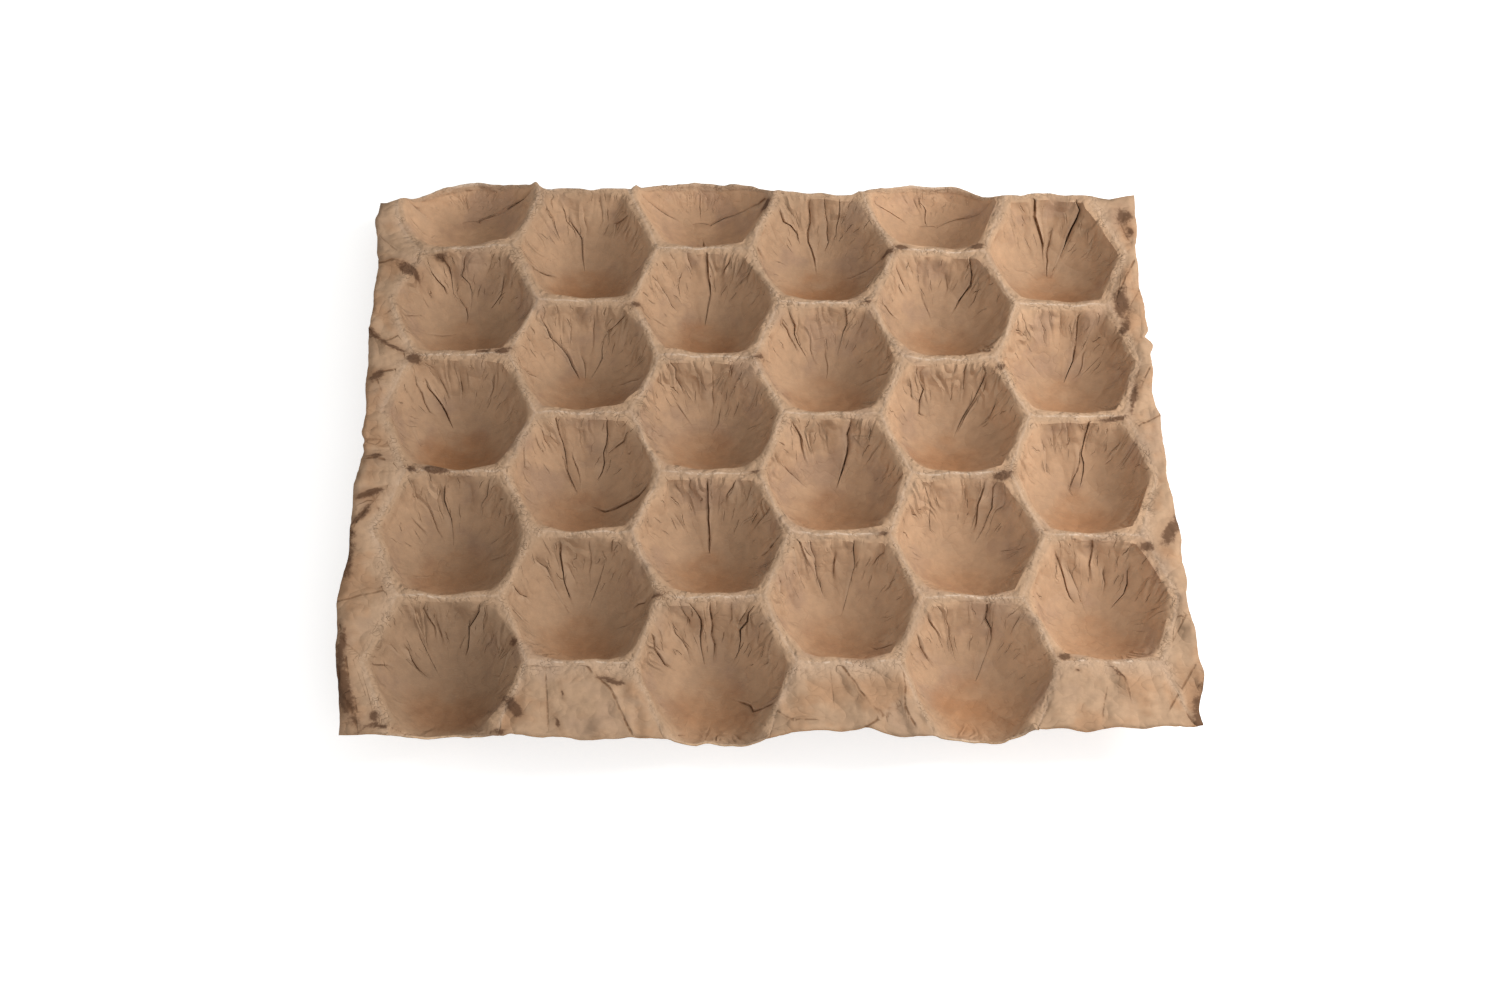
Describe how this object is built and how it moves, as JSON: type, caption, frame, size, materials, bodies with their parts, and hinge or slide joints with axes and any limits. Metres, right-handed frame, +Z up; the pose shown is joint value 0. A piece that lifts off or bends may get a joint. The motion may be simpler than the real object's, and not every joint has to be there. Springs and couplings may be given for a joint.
{
  "type": "honeycomb apple tray",
  "caption": "One sheet of brown paper pressed into a honeycomb of gathered round cups, with half cups along its back edge, for packing apples in a layer.",
  "frame": {"origin": "under the middle of the sheet, on the surface that the cups stand on", "axes": "+X along the sheet's long side across the columns of cups, +Y from the front edge to the back edge with the half cups, +Z up out of the cups"},
  "size_m": [0.4912, 0.4154, 0.0348],
  "materials": {
    "kraft_paper": "matte"
  },
  "bodies": {
    "root": {"tray": "kraft_paper"}
  },
  "joints": []
}
